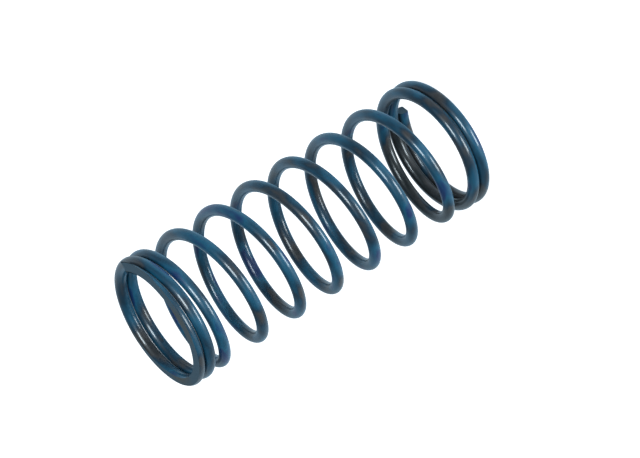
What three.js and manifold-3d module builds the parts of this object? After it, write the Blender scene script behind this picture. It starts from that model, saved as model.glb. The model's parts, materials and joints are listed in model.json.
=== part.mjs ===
// Suspension coil spring: one round wire wound right-handed around +Z, with closed and ground ends.
// Millimetres. The spring stands on its lower ground face at z = 0, with the coil axis on +Z, and the
// wire's lower end lies on +X. The wire is divided at planes through the axis into short lengths, so
// that each open quarter turn can slide down past the one below it when the spring is compressed.
import * as THREE from 'three';
import { mergeVertices } from 'three/addons/utils/BufferGeometryUtils.js';
import Module from 'manifold-3d';

// Wire and coil
const wireDiameter = 13;
const meanCoilDiameter = 140;
const openPitch = 51;
const lowerCoilGap = 0.9;
const upperCoilGap = 1;
const lowerTipThickness = 10.66;
const upperTipThickness = 3;

// Turns of wire, counted from the lower end
const lowerClosedTurns = 1.86;
const lowerOpeningTurns = 0.2;
const upperClosingTurns = 0.5;
const upperClosedTurns = 1.955;
const totalTurns = 10.85;

// The lower end coils lie tilted, so that their first half turn is level and flush with the seat
const lowerTilt = 4.5;
const lowerHighSide = (52 * Math.PI) / 180;
const tiltedTurns = 1.75;
const levellingTurns = 0.5;

// The upper end coils lie a little tilted as well
const upperTilt = 1.2;
const upperHighSide = (13 * Math.PI) / 180;
const upperTiltStart = 8.3;
const upperTiltTurns = 0.7;

// How the wire is divided
const stepsPerTurn = 20;
const quarterSteps = 5;
const lowerTipSteps = 3;
const lowerEndQuarters = 7;
const activeQuarters = 27;
const upperEndQuarters = 8;
const upperTipSteps = 4;
const cutGap = 0.3;
const sectionSides = 8;

const wireRadius = wireDiameter / 2;
const coilRadius = meanCoilDiameter / 2;
const lowerClosedPitch = wireDiameter + lowerCoilGap;
const upperClosedPitch = wireDiameter + upperCoilGap;
const closingStart = totalTurns - upperClosedTurns - upperClosingTurns;

// Integral of the smoothstep ramp 3x^2 - 2x^3, continued as a straight line past x = 1
function easedLength(x) {
  if (x <= 0) return 0;
  return x < 1 ? x ** 3 - x ** 4 / 2 : x - 0.5;
}

// Height that the tilt of the end coils adds, fading out in the open coils between them
function tiltHeight(turn) {
  const angle = 2 * Math.PI * turn;
  const faded = THREE.MathUtils.smoothstep(turn, tiltedTurns, tiltedTurns + levellingTurns);
  const grown = THREE.MathUtils.smoothstep(turn, upperTiltStart, upperTiltStart + upperTiltTurns);
  const lower = lowerTilt * (1 - faded) * Math.cos(angle - lowerHighSide);
  return lower + upperTilt * grown * Math.cos(angle - upperHighSide);
}

// Height of the wire's centre above its lower end: closed coils, open coils, closed coils
function rise(turn) {
  const opened = lowerOpeningTurns * easedLength((turn - lowerClosedTurns) / lowerOpeningTurns);
  const closed = upperClosingTurns * easedLength((turn - closingStart) / upperClosingTurns);
  const openRise = (openPitch - lowerClosedPitch) * opened - (openPitch - upperClosedPitch) * closed;
  return lowerClosedPitch * turn + openRise + tiltHeight(turn);
}

function wireHeight(turn) {
  return lowerTipThickness - wireRadius + rise(turn) - rise(0);
}

const freeLength = wireHeight(totalTurns) + upperTipThickness - wireRadius;

// The wire's centreline from one turn count to another, in equal steps of angle. Its sections stand
// in planes through the coil axis, so the faces of two neighbouring lengths stay parallel to Z.
class WireCentreline extends THREE.Curve {
  constructor(startTurn, endTurn) {
    super();
    this.startTurn = startTurn;
    this.endTurn = endTurn;
  }

  turnAt(u) {
    return this.startTurn + (this.endTurn - this.startTurn) * u;
  }

  getPoint(u, target = new THREE.Vector3()) {
    const turn = this.turnAt(u);
    const angle = 2 * Math.PI * turn;
    return target.set(coilRadius * Math.cos(angle), coilRadius * Math.sin(angle), wireHeight(turn));
  }

  getUtoTmapping(u) {
    return u;
  }

  computeFrenetFrames(steps) {
    const frames = { tangents: [], normals: [], binormals: [] };
    for (let i = 0; i <= steps; i += 1) {
      const angle = 2 * Math.PI * this.turnAt(i / steps);
      const up = new THREE.Vector3(0, 0, 1);
      const outward = new THREE.Vector3(Math.cos(angle), Math.sin(angle), 0);
      frames.normals.push(up);
      frames.binormals.push(outward);
      frames.tangents.push(up.clone().cross(outward));
    }
    return frames;
  }
}

// Octagon around the wire's round section, with flats facing up, down, in and out
function wireSection() {
  const cornerRadius = wireRadius / Math.cos(Math.PI / sectionSides);
  const corners = [];
  for (let i = 0; i < sectionSides; i += 1) {
    const angle = ((i + 0.5) * 2 * Math.PI) / sectionSides;
    corners.push(new THREE.Vector2(cornerRadius * Math.cos(angle), cornerRadius * Math.sin(angle)));
  }
  return new THREE.Shape(corners);
}

// Wire between two steps, short of each by half of the gap between neighbouring lengths
function wireLength(startStep, steps) {
  const halfGap = cutGap / 2 / (2 * Math.PI * coilRadius);
  const startTurn = startStep / stepsPerTurn + halfGap;
  const endTurn = (startStep + steps) / stepsPerTurn - halfGap;
  const extrudePath = new WireCentreline(startTurn, endTurn);
  return new THREE.ExtrudeGeometry(wireSection(), { steps, extrudePath });
}

const wasm = await Module();
wasm.setup();

function toSolid(geometry) {
  const bare = geometry.clone();
  bare.deleteAttribute('normal');
  bare.deleteAttribute('uv');
  const merged = mergeVertices(bare, 1e-4);
  return new wasm.Manifold(new wasm.Mesh({
    numProp: 3,
    vertProperties: new Float32Array(merged.attributes.position.array),
    triVerts: new Uint32Array(merged.index.array),
  }));
}

function toGeometry(solid) {
  const mesh = solid.getMesh();
  const geometry = new THREE.BufferGeometry();
  geometry.setAttribute('position', new THREE.BufferAttribute(mesh.vertProperties, 3));
  geometry.setIndex(new THREE.BufferAttribute(mesh.triVerts, 1));
  geometry.computeVertexNormals();
  return geometry;
}

// Grinds both ends flat: what stands below z = 0 or above the free length is cut away
function groundFlat(geometry) {
  const blockSide = 2 * meanCoilDiameter;
  const blockHeight = 4 * wireDiameter;
  let solid = toSolid(geometry);
  for (const faceHeight of [-blockHeight / 2, freeLength + blockHeight / 2]) {
    const block = new THREE.BoxGeometry(blockSide, blockSide, blockHeight);
    block.translate(0, 0, faceHeight);
    solid = solid.subtract(toSolid(block));
  }
  return toGeometry(solid);
}

const spring = new THREE.Group();
const lacquerBlue = 0x1b4f6b;
const groundGrey = 0x5f7480;
let nextStep = 0;

// Adds the next length of wire above the ones already there
function addLength(name, steps, color) {
  const wire = groundFlat(wireLength(nextStep, steps));
  const material = new THREE.MeshStandardMaterial({ color, roughness: 0.25, metalness: 0.6 });
  const mesh = new THREE.Mesh(wire, material);
  mesh.name = name;
  spring.add(mesh);
  nextStep += steps;
}

function addLowerEnd() {
  addLength('lower_end_tip', lowerTipSteps, groundGrey);
  for (let i = 1; i <= lowerEndQuarters; i += 1) {
    addLength(`lower_end_coil_quarter_${i}`, quarterSteps, lacquerBlue);
  }
}

function addActiveCoils() {
  for (let i = 0; i < activeQuarters; i += 1) {
    const coil = Math.floor(i / 4) + 1;
    const quarter = (i % 4) + 1;
    addLength(`active_coil_${coil}_quarter_${quarter}`, quarterSteps, lacquerBlue);
  }
}

function addUpperEnd() {
  for (let i = upperEndQuarters; i >= 1; i -= 1) {
    addLength(`upper_end_coil_quarter_${i}`, quarterSteps, lacquerBlue);
  }
  addLength('upper_end_tip', upperTipSteps, groundGrey);
}

addLowerEnd();
addActiveCoils();
addUpperEnd();

export default spring;
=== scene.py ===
"""Looks of the coil spring: a smooth lacquered wire over the jointed CAD frame, on a pale floor."""

import json
import math

import bpy
import numpy as np
from mathutils import Matrix, Vector

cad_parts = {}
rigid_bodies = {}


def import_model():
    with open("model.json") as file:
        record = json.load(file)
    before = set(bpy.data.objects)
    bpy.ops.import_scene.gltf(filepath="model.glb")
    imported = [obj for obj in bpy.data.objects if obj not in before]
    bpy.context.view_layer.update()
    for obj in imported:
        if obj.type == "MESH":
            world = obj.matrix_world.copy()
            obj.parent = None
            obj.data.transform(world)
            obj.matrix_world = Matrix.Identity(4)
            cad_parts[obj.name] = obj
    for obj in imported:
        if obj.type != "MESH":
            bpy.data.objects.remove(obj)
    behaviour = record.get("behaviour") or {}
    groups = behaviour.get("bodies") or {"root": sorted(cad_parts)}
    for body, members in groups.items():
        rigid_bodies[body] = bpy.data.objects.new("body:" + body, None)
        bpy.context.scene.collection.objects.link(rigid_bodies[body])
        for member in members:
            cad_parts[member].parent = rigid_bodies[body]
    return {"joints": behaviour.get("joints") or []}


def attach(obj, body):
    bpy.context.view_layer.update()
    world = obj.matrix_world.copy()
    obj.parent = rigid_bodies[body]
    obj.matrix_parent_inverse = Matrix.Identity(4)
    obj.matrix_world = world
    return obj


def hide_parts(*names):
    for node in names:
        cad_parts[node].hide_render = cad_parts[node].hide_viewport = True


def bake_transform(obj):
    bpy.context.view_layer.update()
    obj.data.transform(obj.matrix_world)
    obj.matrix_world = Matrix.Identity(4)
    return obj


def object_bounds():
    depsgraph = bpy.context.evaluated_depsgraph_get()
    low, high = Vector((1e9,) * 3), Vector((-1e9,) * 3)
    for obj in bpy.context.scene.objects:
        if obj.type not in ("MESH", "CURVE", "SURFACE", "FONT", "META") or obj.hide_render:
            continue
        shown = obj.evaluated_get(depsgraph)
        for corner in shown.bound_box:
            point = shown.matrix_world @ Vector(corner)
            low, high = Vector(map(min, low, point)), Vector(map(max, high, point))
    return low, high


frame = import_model()
cad_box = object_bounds()

# The wire's course, in metres and in turns from its lower end, as in the CAD source
WIRE_RADIUS = 0.0065
COIL_RADIUS = 0.070
OPEN_PITCH = 0.051
LOWER_CLOSED_PITCH = 0.0139
UPPER_CLOSED_PITCH = 0.014
LOWER_TIP_THICKNESS = 0.01066
LOWER_CLOSED_TURNS = 1.86
LOWER_OPENING_TURNS = 0.2
UPPER_CLOSING_START = 8.395
UPPER_CLOSING_TURNS = 0.5
TOTAL_TURNS = 10.85
FREE_LENGTH = cad_box[1].z

# How far the closed coils lie tilted, towards which side, and where the tilt fades out and in
LOWER_TILT = 0.0045
LOWER_HIGH_SIDE = math.radians(52)
TILTED_TURNS = 1.75
LEVELLING_TURNS = 0.5
UPPER_TILT = 0.0012
UPPER_HIGH_SIDE = math.radians(13)
UPPER_TILT_START = 8.3
UPPER_TILT_TURNS = 0.7

# Where the visible wire is divided: the middles of the CAD quarter turns, and the two tips
FIRST_BLEND_TURN = 1.775
QUARTER_TURN = 0.25
LOWER_TIP_TURNS = 0.15
UPPER_TIP_START = 10.65

# Fineness of the wire's surface
RINGS_PER_TURN = 144
FLAT_SIDES = 8
ROUND_SIDES = 32
SMALLEST_FLAT = math.radians(8)
TIP_BEVEL = 0.0005

# A point this near a ground plane lies in it
FLUSH = 1e-7

# The wire's texture coordinates: turns along it, and the share of its girth
WIRE_UV = "along_and_around"

# Colours
CHARCOAL = (0.034, 0.033, 0.034)
NEAR_BLACK = (0.006, 0.009, 0.010)
DEEP_TEAL = (0.003, 0.022, 0.042)
DARK_BLUE = (0.002, 0.044, 0.082)
BLUE = (0.003, 0.072, 0.130)
NAVY = (0.003, 0.022, 0.090)
BROWN_GREY = (0.070, 0.068, 0.058)
SLATE = (0.038, 0.078, 0.108)
PALE_TABLE = (0.9, 0.9, 0.9)
COOL_WHITE = (0.80, 0.93, 1.0)
DIM_SURROUNDINGS = (0.07, 0.10, 0.12)
MIDDLE_SURROUNDINGS = (0.24, 0.33, 0.40)
BRIGHT_SURROUNDINGS = (0.52, 0.70, 0.84)

# Noise on the wire: steps in one turn of it, and the radius in steps of its wrap round the girth
PATCHES = (9.0, 0.35)
GRAIN = (60.0, 1.2)
STAINS = (7.0, 0.3)

# Noise on the ground faces: steps in a metre along X, Y and Z
GRINDING_LINES = (40.0, 900.0, 1.0)

# Painted shade: the lacquer colour is darkened round one side of the lower end coils, where they
# lie in shade
PAINTED_SHADE_SIDE = math.radians(85)
PAINTED_SHADE_TURNS = 2.5
PAINTED_SHADE_FADE = 0.15
FULL_PAINTED_SHADE_COSINE = 0.6
PAINTED_SHADE_DEPTH = 0.3

# Camera: a long lens looking down at the spring, rolled so that the coil axis lies across
CAMERA_AZIMUTH = math.radians(227.0)
CAMERA_ELEVATION = math.radians(22.6)
CAMERA_ROLL = math.radians(-122.72)
CAMERA_DISTANCE = 85 * COIL_RADIUS
CAMERA_RIGHT = 0.3010 * COIL_RADIUS
CAMERA_UP = 0.0390 * COIL_RADIUS
SENSOR_WIDTH = 36.0
LENS = 314.6
FARTHEST_SEEN = 100.0

# The softboxes face this point, about half way up the coil axis. The camera is placed from it
AIM = Vector((0, 0, 0.2015))
SOFTBOX_DISTANCE = 2.2
SOFTBOX_SIDE = 0.85

# Floor, just under the spring, and the brightness of the surroundings
FLOOR_REACH = 12.0
FLOOR_HEIGHT = -0.0002
WORLD_STRENGTH = 0.8


def eased_length(x):
    """Integral of smoothstep, continued as a straight line past x = 1."""
    eased = x**3 - x**4 / 2
    return np.where(x <= 0, 0.0, np.where(x < 1, eased, x - 0.5))


def smoothstep(x):
    x = np.clip(x, 0.0, 1.0)
    return x * x * (3 - 2 * x)


def tilt_height(turn):
    """Height that the tilt of the end coils adds, fading out in the open coils between them."""
    angle = 2 * math.pi * turn
    faded = smoothstep((turn - TILTED_TURNS) / LEVELLING_TURNS)
    grown = smoothstep((turn - UPPER_TILT_START) / UPPER_TILT_TURNS)
    lower = LOWER_TILT * (1 - faded) * np.cos(angle - LOWER_HIGH_SIDE)
    return lower + UPPER_TILT * grown * np.cos(angle - UPPER_HIGH_SIDE)


def rise(turn):
    """Height gained along the wire: closed coils, open coils, closed coils."""
    opening = (turn - LOWER_CLOSED_TURNS) / LOWER_OPENING_TURNS
    closing = (turn - UPPER_CLOSING_START) / UPPER_CLOSING_TURNS
    opened = (OPEN_PITCH - LOWER_CLOSED_PITCH) * (LOWER_OPENING_TURNS * eased_length(opening))
    closed = (OPEN_PITCH - UPPER_CLOSED_PITCH) * (UPPER_CLOSING_TURNS * eased_length(closing))
    return LOWER_CLOSED_PITCH * turn + (opened - closed) + tilt_height(turn)


def wire_height(turn):
    """Height of the wire's centre."""
    return LOWER_TIP_THICKNESS - WIRE_RADIUS + rise(turn) - rise(0.0)


def flat_half_angle(depth):
    """Half the angle that a ground flat takes from the round section, depth being the distance
    of its plane from the centre."""
    cosine = np.clip(depth / WIRE_RADIUS, -1.0, 1.0)
    return np.maximum(np.arccos(cosine), SMALLEST_FLAT)


def section_angles(height):
    """Angles round the section at one ring, with a vertex at each edge of the two flats."""
    low = flat_half_angle(height)
    high = flat_half_angle(FREE_LENGTH - height)
    side = math.pi - low - high
    bottom, top = -math.pi / 2, math.pi / 2
    arcs = [
        (bottom - low, bottom + low, FLAT_SIDES),
        (bottom + low, bottom + low + side, ROUND_SIDES // 2),
        (top - high, top + high, FLAT_SIDES),
        (top + high, top + high + side, ROUND_SIDES // 2),
    ]
    return np.concatenate([np.linspace(*arc, endpoint=False) for arc in arcs])


def ring(turn, scale=1.0):
    """Points, outward normals and section angles of the wire's skin at one turn count."""
    height = float(wire_height(np.array(turn)))
    around = section_angles(height)
    radius = COIL_RADIUS + scale * WIRE_RADIUS * np.cos(around)
    z = np.clip(height + scale * WIRE_RADIUS * np.sin(around), 0.0, FREE_LENGTH)
    angle = 2 * math.pi * turn
    east, north = math.cos(angle), math.sin(angle)
    points = np.stack([radius * east, radius * north, z], 1)
    outward = np.cos(around)
    normals = np.stack([outward * east, outward * north, np.sin(around)], 1)
    return points, normals, around


def wire_rings(start, end):
    """Places and sizes of the rings along a length. A free end of the wire has a small bevel."""
    count = max(2, round((end - start) * RINGS_PER_TURN) + 1)
    turns = list(np.linspace(start, end, count))
    scales = [1.0] * count
    bevel_turns = TIP_BEVEL / (2 * math.pi * COIL_RADIUS)
    bevel_scale = 1 - TIP_BEVEL / WIRE_RADIUS
    if start == 0.0:
        turns[0:1] = [0.0, bevel_turns]
        scales[0:1] = [bevel_scale, 1.0]
    if end == TOTAL_TURNS:
        turns[-1:] = [TOTAL_TURNS - bevel_turns, TOTAL_TURNS]
        scales[-1:] = [1.0, bevel_scale]
    return turns, scales


class Skin:
    """The faces of one length of wire, with a normal and texture coordinates at each corner.

    i counts its rings along the wire, and j and k the points round a ring.
    """

    def __init__(self, turns, scales):
        self.turns = turns
        self.rings = [ring(turn, scale) for turn, scale in zip(turns, scales)]
        self.sides = len(self.rings[0][0])
        self.faces, self.normals, self.uvs, self.grounds = [], [], [], []

    def flat_normal(self, i, j, k):
        """The normal of the ground flat that the face between rings i and i + 1 lies in, if any."""
        lower, upper = self.rings[i][0], self.rings[i + 1][0]
        if j < FLAT_SIDES and max(lower[j][2], lower[k][2]) <= FLUSH:
            return (0, 0, -1)
        if min(upper[j][2], upper[k][2]) >= FREE_LENGTH - FLUSH:
            return (0, 0, 1)
        return None

    def add_side(self, i, j):
        k = (j + 1) % self.sides
        flat = self.flat_normal(i, j, k)
        corners = [(i, j), (i + 1, j), (i + 1, k), (i, k)]
        self.faces.append([a * self.sides + b for a, b in corners])
        self.grounds.append(flat is not None)
        for a, b in corners:
            _, normals, around = self.rings[a]
            self.normals.append(flat or tuple(normals[b]))
            lap = 1 if b == 0 and j == self.sides - 1 else 0
            self.uvs.append((self.turns[a], around[b] / (2 * math.pi) + lap))

    def add_cap(self, i, sign):
        """Closes the length at ring i, facing back (-1) or on (1) along the wire."""
        turn = self.turns[i]
        angle = 2 * math.pi * turn
        order = range(self.sides) if sign < 0 else range(self.sides - 1, -1, -1)
        self.faces.append([i * self.sides + j for j in order])
        self.grounds.append(turn in (0.0, TOTAL_TURNS))
        self.normals += [(-sign * math.sin(angle), sign * math.cos(angle), 0)] * self.sides
        self.uvs += [(turn, 0.5)] * self.sides


def wire_mesh(name, start, end):
    """A closed length of wire. Its ground flats and free ends take the second material."""
    skin = Skin(*wire_rings(start, end))
    final_ring = len(skin.rings) - 1
    for i in range(final_ring):
        for j in range(skin.sides):
            skin.add_side(i, j)
    skin.add_cap(0, -1)
    skin.add_cap(final_ring, 1)
    mesh = bpy.data.meshes.new(name)
    points = np.concatenate([points for points, _, _ in skin.rings])
    mesh.from_pydata([tuple(point) for point in points], [], skin.faces)
    layer = mesh.uv_layers.new(name=WIRE_UV)
    layer.data.foreach_set("uv", np.array(skin.uvs, np.float32).ravel())
    mesh.materials.append(lacquer)
    mesh.materials.append(ground_steel)
    mesh.polygons.foreach_set("material_index", np.array(skin.grounds, np.int32))
    mesh.polygons.foreach_set("use_smooth", np.ones(len(skin.faces), bool))
    mesh.update()
    mesh.normals_split_custom_set(skin.normals)
    piece = bpy.data.objects.new(name, mesh)
    bpy.context.scene.collection.objects.link(piece)
    return piece


def new_material(name):
    material = bpy.data.materials.new(name)
    material.use_nodes = True
    tree = material.node_tree
    return material, tree, tree.nodes["Principled BSDF"]


def math_node(tree, operation, *values):
    made = tree.nodes.new("ShaderNodeMath")
    made.operation = operation
    for socket, value in zip(made.inputs, values):
        if isinstance(value, (int, float)):
            socket.default_value = value
        else:
            tree.links.new(value, socket)
    return made.outputs[0]


def wire_place(tree):
    """Turns along the wire, and share of its girth."""
    uv = tree.nodes.new("ShaderNodeUVMap")
    uv.uv_map = WIRE_UV
    split = tree.nodes.new("ShaderNodeSeparateXYZ")
    tree.links.new(uv.outputs[0], split.inputs[0])
    return split.outputs[0], split.outputs[1]


def wire_coordinates(tree, along, around):
    """Texture coordinates that run along the wire and wrap round it without a seam."""
    turn, girth = wire_place(tree)
    angle = math_node(tree, "MULTIPLY", girth, 2 * math.pi)
    joined = tree.nodes.new("ShaderNodeCombineXYZ")
    tree.links.new(math_node(tree, "MULTIPLY", turn, along), joined.inputs[0])
    for socket, function in ((joined.inputs[1], "COSINE"), (joined.inputs[2], "SINE")):
        wrapped = math_node(tree, function, angle)
        tree.links.new(math_node(tree, "MULTIPLY", wrapped, around), socket)
    return joined.outputs[0]


def noise(tree, vector, detail=2.0):
    made = tree.nodes.new("ShaderNodeTexNoise")
    made.inputs["Scale"].default_value = 1.0
    made.inputs["Detail"].default_value = detail
    tree.links.new(vector, made.inputs["Vector"])
    return made.outputs[0]


def ramp(tree, factor, stops):
    made = tree.nodes.new("ShaderNodeValToRGB")
    elements = made.color_ramp.elements
    while len(elements) < len(stops):
        elements.new(0.5)
    for element, (position, color) in zip(elements, stops):
        element.position = position
        element.color = (*color, 1.0)
    tree.links.new(factor, made.inputs[0])
    return made.outputs[0]


def bump(tree, height, strength, distance):
    made = tree.nodes.new("ShaderNodeBump")
    made.inputs["Strength"].default_value = strength
    made.inputs["Distance"].default_value = distance
    tree.links.new(height, made.inputs["Height"])
    return made.outputs[0]


def faded_in(tree, value, start, end):
    mapped = tree.nodes.new("ShaderNodeMapRange")
    mapped.interpolation_type = "SMOOTHSTEP"
    mapped.inputs["From Min"].default_value = start
    mapped.inputs["From Max"].default_value = end
    tree.links.new(value, mapped.inputs["Value"])
    return mapped.outputs[0]


def painted_shade_share(tree):
    """How far painted shade darkens the lacquer colour: round one side of the coils at the lower
    end.
    """
    turn, _ = wire_place(tree)
    angle = math_node(tree, "MULTIPLY", turn, 2 * math.pi)
    from_side = math_node(tree, "SUBTRACT", angle, PAINTED_SHADE_SIDE)
    side = faded_in(tree, math_node(tree, "COSINE", from_side), 0.0, FULL_PAINTED_SHADE_COSINE)
    fade_start, fade_end = PAINTED_SHADE_TURNS + PAINTED_SHADE_FADE, PAINTED_SHADE_TURNS - PAINTED_SHADE_FADE
    lower_end = faded_in(tree, turn, fade_start, fade_end)
    share = math_node(tree, "MULTIPLY", side, lower_end)
    return math_node(tree, "MULTIPLY", share, PAINTED_SHADE_DEPTH)


def make_lacquer():
    """Glossy dark blue lacquer, uneven enough that charcoal patches show between the blue ones."""
    material, tree, shader = new_material("blue_lacquer")
    patches = noise(tree, wire_coordinates(tree, *PATCHES))
    # Painted shade: the patches are darkened round one side of the lower end coils, down to near
    # black and charcoal
    patches_with_painted_shade = math_node(tree, "SUBTRACT", patches, painted_shade_share(tree))
    stops = [
        (0.16, NEAR_BLACK),
        (0.34, CHARCOAL),
        (0.41, DEEP_TEAL),
        (0.48, DARK_BLUE),
        (0.57, BLUE),
        (0.66, NAVY),
    ]
    tree.links.new(ramp(tree, patches_with_painted_shade, stops), shader.inputs["Base Color"])
    grain = noise(tree, wire_coordinates(tree, *GRAIN), detail=3.0)
    tree.links.new(bump(tree, grain, strength=0.02, distance=0.0003), shader.inputs["Normal"])
    shader.inputs["Roughness"].default_value = 0.45
    shader.inputs["Metallic"].default_value = 0.0
    shader.inputs["Coat Weight"].default_value = 0.8
    shader.inputs["Coat Roughness"].default_value = 0.14
    shader.inputs["Coat IOR"].default_value = 1.5
    return material


def make_ground_steel():
    """The ground flats and free ends: dulled steel with fine straight grinding lines."""
    material, tree, shader = new_material("ground_steel")
    place = tree.nodes.new("ShaderNodeTexCoord").outputs["Object"]
    mapping = tree.nodes.new("ShaderNodeMapping")
    mapping.inputs["Scale"].default_value = GRINDING_LINES
    tree.links.new(place, mapping.inputs["Vector"])
    lines = noise(tree, mapping.outputs[0])
    stains = noise(tree, wire_coordinates(tree, *STAINS))
    color = ramp(tree, stains, [(0.38, BROWN_GREY), (0.52, SLATE)])
    tree.links.new(color, shader.inputs["Base Color"])
    tree.links.new(bump(tree, lines, strength=0.2, distance=0.0002), shader.inputs["Normal"])
    shader.inputs["Roughness"].default_value = 0.5
    shader.inputs["Metallic"].default_value = 0.3
    return material


lacquer = make_lacquer()
ground_steel = make_ground_steel()

# Bodies from the lower end up, as the joints chain them
joints = {j["parent"]: j["child"] for j in frame["joints"]}
chain = ["lower_end_coils"]
while chain[-1] in joints:
    chain.append(joints[chain[-1]])
active_bodies = chain[1:-1]
last_blend_turn = FIRST_BLEND_TURN + QUARTER_TURN * (len(chain) - 1)


def add_end(name, start, end, body, nodes):
    """A length of an end coil, which rides on its body without bending."""
    piece = wire_mesh(name, start, end)
    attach(piece, body)
    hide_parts(*nodes)


def add_blends():
    """A quarter turn of wire between each two neighbouring bodies' middles, left fixed in place and
    attached to neither body.
    """
    for i, (lower, upper) in enumerate(zip(chain, chain[1:])):
        start = FIRST_BLEND_TURN + QUARTER_TURN * i
        end = start + QUARTER_TURN
        name = f"{upper}_wire" if upper in active_bodies else "upper_end_transition_wire"
        piece = wire_mesh(name, start, end)
        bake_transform(piece)
        if upper in active_bodies:
            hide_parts(upper)


lower_quarters = [f"lower_end_coil_quarter_{i}" for i in range(1, 8)]
upper_quarters = [f"upper_end_coil_quarter_{i}" for i in range(1, 9)]
first, last = chain[0], chain[-1]
add_end("lower_tip_wire", 0.0, LOWER_TIP_TURNS, first, ["lower_end_tip"])
add_end(
    "lower_end_wire", LOWER_TIP_TURNS, FIRST_BLEND_TURN, first, lower_quarters
)
add_blends()
add_end("upper_end_wire", last_blend_turn, UPPER_TIP_START, last, upper_quarters)
add_end("upper_tip_wire", UPPER_TIP_START, TOTAL_TURNS, last, ["upper_end_tip"])


def direction(azimuth, elevation):
    """Unit vector out from the coil axis."""
    flat = math.cos(elevation)
    return Vector((flat * math.cos(azimuth), flat * math.sin(azimuth), math.sin(elevation)))


def add_camera():
    data = bpy.data.cameras.new("camera")
    data.lens = LENS
    data.sensor_width = SENSOR_WIDTH
    data.clip_end = FARTHEST_SEEN
    camera = bpy.data.objects.new("camera", data)
    bpy.context.scene.collection.objects.link(camera)
    outward = direction(CAMERA_AZIMUTH, CAMERA_ELEVATION)
    level = (-outward).to_track_quat("-Z", "Y").to_matrix()
    turned = level @ Matrix.Rotation(CAMERA_ROLL, 3, "Z")
    right, up = turned.col[0], turned.col[1]
    place = AIM + outward * CAMERA_DISTANCE + right * CAMERA_RIGHT + up * CAMERA_UP
    camera.matrix_world = Matrix.Translation(place) @ turned.to_4x4()
    bpy.context.scene.camera = camera


add_camera()


def add_softbox(name, azimuth, elevation, power):
    data = bpy.data.lights.new(name, "AREA")
    data.shape = "RECTANGLE"
    data.size = SOFTBOX_SIDE
    data.size_y = SOFTBOX_SIDE
    data.energy = power
    data.color = COOL_WHITE
    light = bpy.data.objects.new(name, data)
    bpy.context.scene.collection.objects.link(light)
    toward = direction(math.radians(azimuth), math.radians(elevation))
    turned = toward.to_track_quat("Z", "Y").to_matrix().to_4x4()
    light.matrix_world = Matrix.Translation(AIM + toward * SOFTBOX_DISTANCE) @ turned


add_softbox("key_softbox", 235, 44, power=38)
add_softbox("table_softbox", 201, -36, power=30)


def add_floor():
    """A pale table, lit from inside so that it stays white."""
    mesh = bpy.data.meshes.new("floor")
    corners = [(-1, -1), (1, -1), (1, 1), (-1, 1)]
    points = [(x * FLOOR_REACH, y * FLOOR_REACH, FLOOR_HEIGHT) for x, y in corners]
    mesh.from_pydata(points, [], [(0, 1, 2, 3)])
    material, _, shader = new_material("pale_floor")
    shader.inputs["Base Color"].default_value = (*PALE_TABLE, 1)
    shader.inputs["Roughness"].default_value = 0.9
    shader.inputs["Emission Color"].default_value = (1, 1, 1, 1)
    shader.inputs["Emission Strength"].default_value = 1.0
    mesh.materials.append(material)
    floor = bpy.data.objects.new("floor", mesh)
    bpy.context.scene.collection.objects.link(floor)
    floor.visible_glossy = False
    floor.visible_shadow = False


add_floor()


def add_world():
    """Cool surroundings: bright beyond the spring as the camera sees it, dim on its own side."""
    world = bpy.data.worlds.new("studio")
    world.use_nodes = True
    tree = world.node_tree
    place = tree.nodes.new("ShaderNodeTexCoord").outputs["Generated"]
    along = tree.nodes.new("ShaderNodeVectorMath")
    along.operation = "DOT_PRODUCT"
    along.inputs[1].default_value = -direction(CAMERA_AZIMUTH, CAMERA_ELEVATION)
    tree.links.new(place, along.inputs[0])
    half = math_node(tree, "MULTIPLY", along.outputs["Value"], 0.5)
    share = math_node(tree, "ADD", half, 0.5)
    stops = [(0.25, DIM_SURROUNDINGS), (0.60, MIDDLE_SURROUNDINGS), (0.85, BRIGHT_SURROUNDINGS)]
    background = tree.nodes["Background"]
    tree.links.new(ramp(tree, share, stops), background.inputs["Color"])
    background.inputs["Strength"].default_value = WORLD_STRENGTH
    bpy.context.scene.world = world


add_world()
bpy.context.scene.view_settings.view_transform = "Standard"
